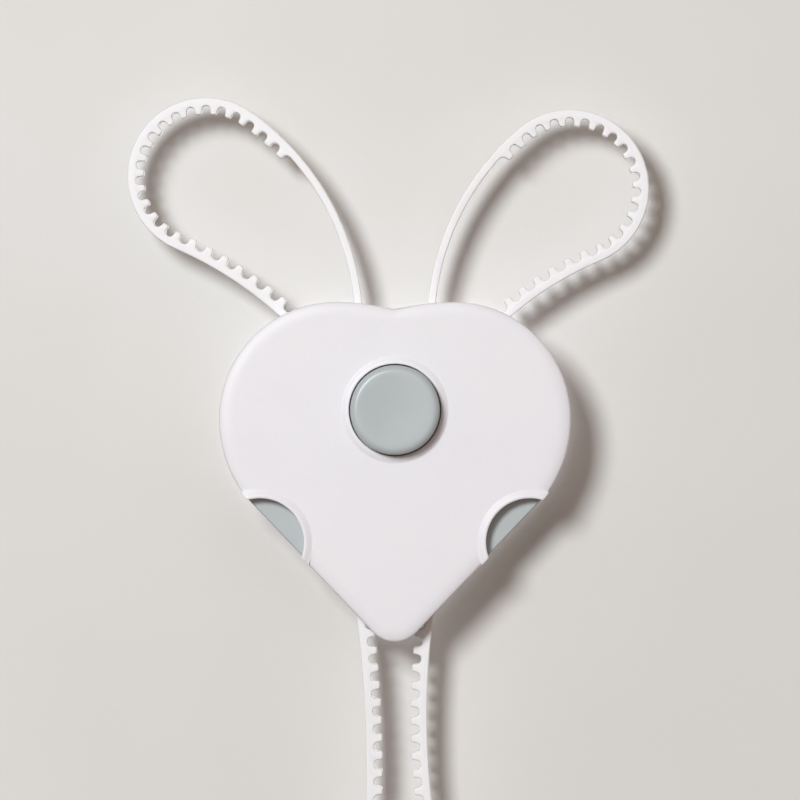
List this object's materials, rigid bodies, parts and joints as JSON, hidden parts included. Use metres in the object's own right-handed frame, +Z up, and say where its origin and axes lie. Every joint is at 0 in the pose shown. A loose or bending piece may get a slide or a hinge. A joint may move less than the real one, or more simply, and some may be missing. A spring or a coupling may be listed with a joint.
{
  "type": "cabinet safety lock",
  "caption": "Child-safety lock for a pair of cabinet knobs: a white heart-shaped ratchet body with a round button, grey squeeze buttons at the sides and toothed loop straps.",
  "frame": {"origin": "on the flat back face, on the axis of the round button", "axes": "+X to the right seen from the front, +Y into the doors (the front faces -Y), +Z up"},
  "size_m": [0.1047, 0.0224, 0.1687],
  "materials": {
    "cover_plastic": "satin white moulded plastic",
    "button_plastic": "satin light grey moulded plastic",
    "strap_plastic": "white flexible moulded plastic",
    "latch_plastic": "plain natural moulded plastic",
    "spring_steel": "drawn wire",
    "fixing_steel": "zinc plated"
  },
  "bodies": {
    "lock_body": {"front_cover": "cover_plastic", "rear_cover": "cover_plastic", "cover_screws": "fixing_steel", "left_strap_loop": "strap_plastic", "right_strap_loop": "strap_plastic", "left_anchor_pin": "fixing_steel", "right_anchor_pin": "fixing_steel", "centre_button_spring": "spring_steel", "left_release_spring": "spring_steel", "right_release_spring": "spring_steel"},
    "round_button": {"centre_button": "button_plastic"},
    "left_release": {"left_release_button": "button_plastic", "left_latch_slider": "latch_plastic"},
    "right_release": {"right_release_button": "button_plastic", "right_latch_slider": "latch_plastic"},
    "left_tail": {"left_strap_tail": "strap_plastic"},
    "right_tail": {"right_strap_tail": "strap_plastic"}
  },
  "joints": [
    {"name": "centre_button_press", "type": "slide", "parent": "lock_body", "child": "round_button", "axis": [0, 1, 0], "range_m": [0, 0.0022], "stiffness_N_per_m": 700, "springref_m": -0.002, "deforming": ["centre_button_spring"]},
    {"name": "left_release_press", "type": "slide", "parent": "lock_body", "child": "left_release", "axis": [0.7243, 0, 0.6895], "range_m": [0, 0.0024], "stiffness_N_per_m": 900, "springref_m": -0.002, "deforming": ["left_release_spring"]},
    {"name": "right_release_press", "type": "slide", "parent": "lock_body", "child": "right_release", "axis": [-0.7243, 0, 0.6895], "range_m": [0, 0.0024], "stiffness_N_per_m": 900, "springref_m": -0.002, "deforming": ["right_release_spring"]},
    {"name": "left_strap_feed", "type": "slide", "parent": "lock_body", "child": "left_tail", "axis": [0.1219, 0, -0.9925], "range_m": [0, 0.021]},
    {"name": "right_strap_feed", "type": "slide", "parent": "lock_body", "child": "right_tail", "axis": [-0.1219, 0, -0.9925], "range_m": [0, 0.021]}
  ]
}
